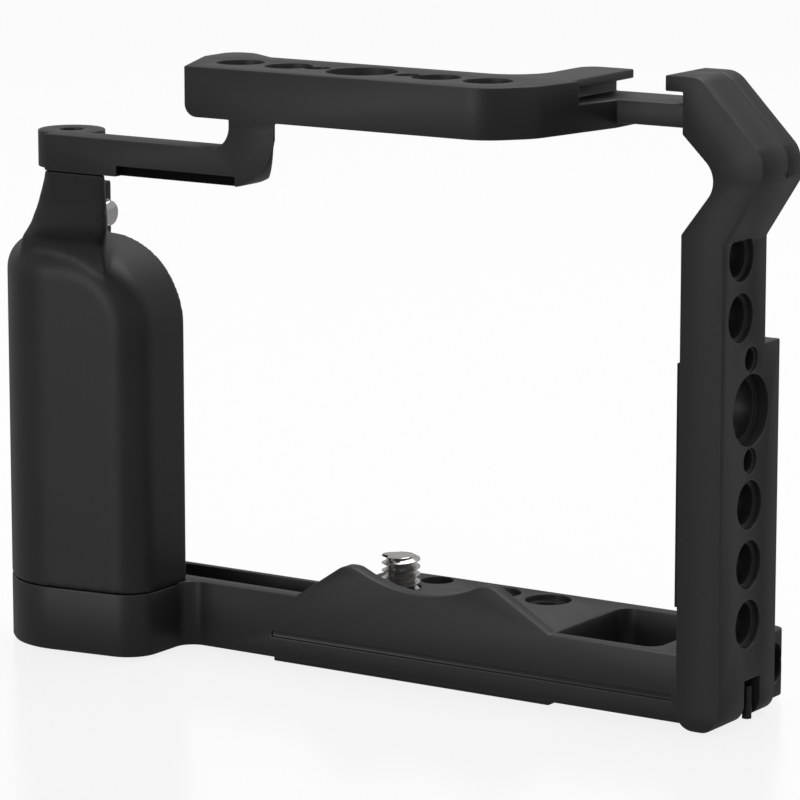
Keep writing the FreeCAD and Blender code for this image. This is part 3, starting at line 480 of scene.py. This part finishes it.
def wound_thread(name, radius, pitch, turns, low):
    """A helical thread from a given height, round the Z axis through the origin."""
    root = radius - THREAD_DEPTH * pitch
    line = profile(name, [
        (root, low), (root, low + FLANK_FROM * pitch), (radius, low + CREST_FROM * pitch),
        (radius, low + CREST_TO * pitch), (root, low + FLANK_TO * pitch), (root, low + pitch)])
    wind = line.modifiers.new("wind", "SCREW")
    wind.axis = "Z"
    wind.angle = math.tau
    wind.screw_offset = pitch
    wind.iterations = turns
    wind.steps = wind.render_steps = THREAD_STEPS
    wind.use_merge_vertices = True
    wind.merge_threshold = THREAD_MERGE
    apply_all(line)
    return line


def trim(piece, height, keep_below):
    """Cuts the piece off level and closes the cut."""
    lone(piece)
    bpy.ops.object.mode_set(mode="EDIT")
    bpy.ops.mesh.select_all(action="SELECT")
    bpy.ops.mesh.bisect(plane_co=(0, 0, height), plane_no=(0, 0, 1), use_fill=True,
                        clear_outer=keep_below, clear_inner=not keep_below)
    bpy.ops.mesh.select_all(action="SELECT")
    bpy.ops.mesh.normals_make_consistent(inside=False)
    bpy.ops.object.mode_set(mode="OBJECT")


def turned(name, points, steps):
    """A turned piece: a line from axis to axis, spun round Z."""
    line = profile(name, points)
    lone(line)
    bpy.ops.object.mode_set(mode="EDIT")
    bpy.ops.mesh.select_all(action="SELECT")
    bpy.ops.mesh.spin(steps=steps, angle=math.tau, center=(0, 0, 0), axis=(0, 0, 1))
    bpy.ops.mesh.select_all(action="SELECT")
    bpy.ops.mesh.remove_doubles(threshold=AXIS_MERGE)
    bpy.ops.mesh.normals_make_consistent(inside=False)
    bpy.ops.object.mode_set(mode="OBJECT")
    return line


def joined(name, *pieces):
    """One object from several, with the first one's origin."""
    lone(pieces[0])
    for piece in pieces[1:]:
        piece.select_set(True)
    if len(pieces) > 1:
        bpy.ops.object.join()
    pieces[0].name = name
    return pieces[0]


def cut_away(piece, cutter):
    """Takes one closed shape out of another."""
    lone(piece)
    hole = piece.modifiers.new("cut", "BOOLEAN")
    hole.operation = "DIFFERENCE"
    hole.solver = "EXACT"
    hole.object = cutter
    bpy.ops.object.modifier_apply(modifier=hole.name)
    bpy.data.objects.remove(cutter)


def polished(piece, metal, round_below=ROUND_BELOW):
    """Gives a turned piece its finish, smooth round the axis and crisp at its corners."""
    piece.data.materials.append(metal)
    lone(piece)
    bpy.ops.object.shade_smooth_by_angle(angle=round_below)


def fixing_screw():
    """The fixing screw: a slotted head, a plain core and the thread round it."""
    low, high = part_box("camera_screw")
    head_low, top, head_r = low[2], high[2], high[0]
    head_high, rim, inset = 3.2 * MM, 0.3 * MM, 0.1 * MM
    foot_edge, top_edge = 0.5 * MM, 0.4 * MM
    neck_r, neck_top = 2.45 * MM, -0.4 * MM
    head = turned("screw_head", [
        (0, head_low), (head_r - foot_edge, head_low), (head_r - inset, head_low + rim),
        (head_r - inset, head_low + head_high - rim), (head_r - top_edge, head_low + head_high),
        (neck_r, head_low + head_high), (neck_r, neck_top), (0, neck_top)], BIG_STEPS)
    slot_long, slot_wide, slot_cut = 3 * head_r, 1.6 * MM, 3.2 * MM
    deselect_all()
    bpy.ops.mesh.primitive_cube_add(
        size=1, location=(0, 0, head_low), scale=(slot_long, slot_wide, slot_cut))
    cut_away(head, bpy.context.object)
    thread_turns, thread_from, thread_low, thread_spare = 6, -1.2 * MM, -0.55 * MM, 0.02 * MM
    thread = wound_thread("screw_thread", THREAD_RADIUS, THREAD_PITCH, thread_turns, thread_from)
    trim(thread, thread_low, keep_below=False)
    trim(thread, top - thread_spare, keep_below=True)
    core_r, core_low, tip_high = 2.3 * MM, -0.5 * MM, 0.25 * MM
    core = turned("screw_core", [
        (0, core_low), (core_r, core_low), (core_r, top - tip_high),
        (core_r - rim, top), (0, top)], BIG_STEPS)
    screw = joined("camera_screw_threaded", head, thread, core)
    polished(screw, STEEL)
    return screw


settle(fixing_screw(), "fixing_screw", "bright_steel", "camera_screw")

# %% [markdown]
# The lug screw lies along X in the ear of the neck and clamps the camera's strap lug. Its thread is
# wound round Z as the other one is, which is the easier way to wind it, and the finished screw is
# then laid down and moved into the ear. Its swivel tip is a small turned button, softened at the
# rim, that presses without marking.

# %% Lug screw and tip
LUG_PITCH = 0.8 * MM
LUG_KEY = 1.45 * MM
# How far the core lies inside the thread, in pitches, and the turns that are trimmed off again
LUG_CORE, SPARE_TURNS = 0.6, 2
QUARTER_TURN = math.pi / 2


def lay_along(piece, axis, place, turn):
    """Turns a piece that was made round Z and moves it to its place, both in its mesh."""
    lone(piece)
    bpy.ops.object.mode_set(mode="EDIT")
    bpy.ops.mesh.select_all(action="SELECT")
    bpy.ops.transform.rotate(value=turn, orient_axis=axis, center_override=(0, 0, 0))
    bpy.ops.transform.translate(value=place)
    bpy.ops.object.mode_set(mode="OBJECT")


def hex_key_cutter(radius, low, deep):
    """A hexagon bar on the Z axis, to cut a key's socket with."""
    deselect_all()
    bpy.ops.mesh.primitive_cylinder_add(
        vertices=6, radius=radius, depth=deep, location=(0, 0, low + deep / 2))
    return bpy.context.object


def show_reach(piece, node):
    """Prints how far the piece's box lies from the box of the node that it stands for."""
    low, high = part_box(node)
    off = 0.0
    for axis in range(3):
        places = [vertex.co[axis] for vertex in piece.data.vertices]
        off = max(off, abs(min(places) - low[axis]), abs(max(places) - high[axis]))
    print("%s differs from %s by %.2f mm at most" % (piece.name, node, off / MM))


def middle_of_end(low, high):
    """The middle of a lying piece's left end."""
    return (low[0], (low[1] + high[1]) / 2, (low[2] + high[2]) / 2)


def lug_screw():
    """The threaded clamp screw, with a key's socket in its left end."""
    low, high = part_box("lug_screw")
    long, radius = high[0] - low[0], (high[1] - low[1]) / 2
    core_r, tip, thread_in = radius - LUG_CORE * LUG_PITCH, 0.2 * MM, 0.1 * MM
    key_from, key_deep = -0.5 * MM, 2.5 * MM
    core = turned("lug_core", [
        (0, 0), (core_r, 0), (core_r, long - tip), (core_r - tip, long), (0, long)], LUG_STEPS)
    turns = int(long / LUG_PITCH) + SPARE_TURNS
    thread = wound_thread("lug_thread", radius, LUG_PITCH, turns, -LUG_PITCH)
    trim(thread, thread_in, keep_below=False)
    trim(thread, long - thread_in, keep_below=True)
    cut_away(core, hex_key_cutter(LUG_KEY, key_from, key_deep))
    screw = joined("lug_screw_threaded", core, thread)
    polished(screw, STEEL)
    lay_along(screw, "Y", middle_of_end(low, high), -QUARTER_TURN)
    return screw


def lug_tip():
    """The swivel button at the lug screw's right end."""
    low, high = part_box("lug_pad")
    thick, radius = high[0] - low[0], (high[1] - low[1]) / 2
    neck_r, neck_long = radius - 0.45 * MM, 0.3 * MM
    ease, soft = 0.1 * MM, 0.3 * MM
    shoulder_low, shoulder_high = 0.45 * MM, 0.6 * MM
    tip = turned("lug_tip_button", [
        (0, 0), (neck_r, 0), (neck_r, neck_long), (radius - ease, shoulder_low),
        (radius, shoulder_high), (radius, thick - soft), (radius - ease, thick - ease),
        (radius - soft, thick), (0, thick)], CAP_STEPS)
    polished(tip, STEEL, SMOOTH_BELOW)
    lay_along(tip, "Y", middle_of_end(low, high), -QUARTER_TURN)
    return tip


settle(lug_screw(), "clamp_screw", "bright_steel", "lug_screw")
settle(lug_tip(), "clamp_pad", "nylon", "lug_pad")
show_reach(bpy.data.objects["lug_screw_threaded"], "lug_screw")
show_reach(bpy.data.objects["lug_tip_button"], "lug_pad")

# %% [markdown]
# Seven socket head screws hold the four frame pieces together. They are bought parts of two sizes,
# with shanks as long as their seats ask for. Each is turned from one outline, its hexagon socket is
# cut out, and it is laid into its seat. The ones of a group are then joined, as their CAD node is.

# %% Socket screws
FRAME_SCREW = {"head_r": 2.75 * MM, "head_high": 2.0 * MM, "shank_r": 1.5 * MM, "key_r": 1.25 * MM}
ARM_SCREW = {"head_r": 1.85 * MM, "head_high": 1.6 * MM, "shank_r": 1.25 * MM, "key_r": 0.9 * MM}
RAIL_SHANK, HANDLE_SHANK, TOP_SHANK, ARM_SHANK = 7.7 * MM, 13.5 * MM, 5.7 * MM, 8.2 * MM
# Where the underside of each head rests, in mm
RAIL_SEATS = [(58.3, -11.8, -5.4), (58.3, -1.6, -5.4)]
HANDLE_SEATS = [(-57.0, -20.4, -8.5), (-38.6, -20.4, -8.5)]
TOP_SEATS = [(65.05, -7.8, 83.75), (69.4, -7.8, 78.3)]
ARM_SEATS = [(-41.6, -32.8, 72.2)]


def socket_cap(name, head_r, head_high, shank_r, key_r, shank_long):
    """A socket screw whose head stands on Z = 0 and whose shank hangs below."""
    tip, tip_high = 0.25 * MM, 0.3 * MM
    foot, ease, crown = 0.12 * MM, 0.1 * MM, 0.35 * MM
    key_deep, cutter_long = 1.2 * MM, 2 * MM
    cap = turned(name, [
        (0, -shank_long), (shank_r - tip, -shank_long), (shank_r, tip_high - shank_long),
        (shank_r, 0), (head_r - foot, 0), (head_r, foot), (head_r, head_high - crown),
        (head_r - ease, head_high - foot), (head_r - crown, head_high), (0, head_high)], CAP_STEPS)
    cut_away(cap, hex_key_cutter(key_r, head_high - key_deep, cutter_long))
    polished(cap, SCREWS)
    return cap


def seated_screws(name, node, size, shank_long, seats, axis, turn):
    """Screws of one size at their seats, joined as the node they stand for."""
    seated = []
    for index, seat in enumerate(seats):
        cap = socket_cap("%s_%d" % (name, index), shank_long=shank_long, **size)
        lay_along(cap, axis, Vector(seat) * MM, turn)
        seated.append(cap)
    settle(joined(name, *seated), "cage", "black_screws", node)
    show_reach(bpy.data.objects[name], node)


seated_screws("rail_socket_screws", "rail_screws", FRAME_SCREW, RAIL_SHANK, RAIL_SEATS,
              "Y", QUARTER_TURN)
seated_screws("handle_socket_screws", "handle_screws", FRAME_SCREW, HANDLE_SHANK, HANDLE_SEATS,
              "X", math.pi)
seated_screws("top_socket_screws", "top_screws", FRAME_SCREW, TOP_SHANK, TOP_SEATS,
              "X", QUARTER_TURN)
seated_screws("arm_socket_screw", "arm_screw", ARM_SCREW, ARM_SHANK, ARM_SEATS, "Z", 0.0)

# %% [markdown]
# The pads, the washer and the pins are small and mostly hidden. They stay as the CAD made them and
# only take their finish.

# %% Finishes of the carried-over nodes
NODE_FINISHES = {
    "screw_washer": NYLON, "strap_pin": SCREWS, "rail_dowels": STEEL, "handle_dowels": STEEL,
    "lip_pads": RUBBER, "rail_pad": RUBBER,
}
for node, material in NODE_FINISHES.items():
    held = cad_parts[node].data.materials
    held.clear()
    held.append(material)
print("finished nodes:", len(NODE_FINISHES))
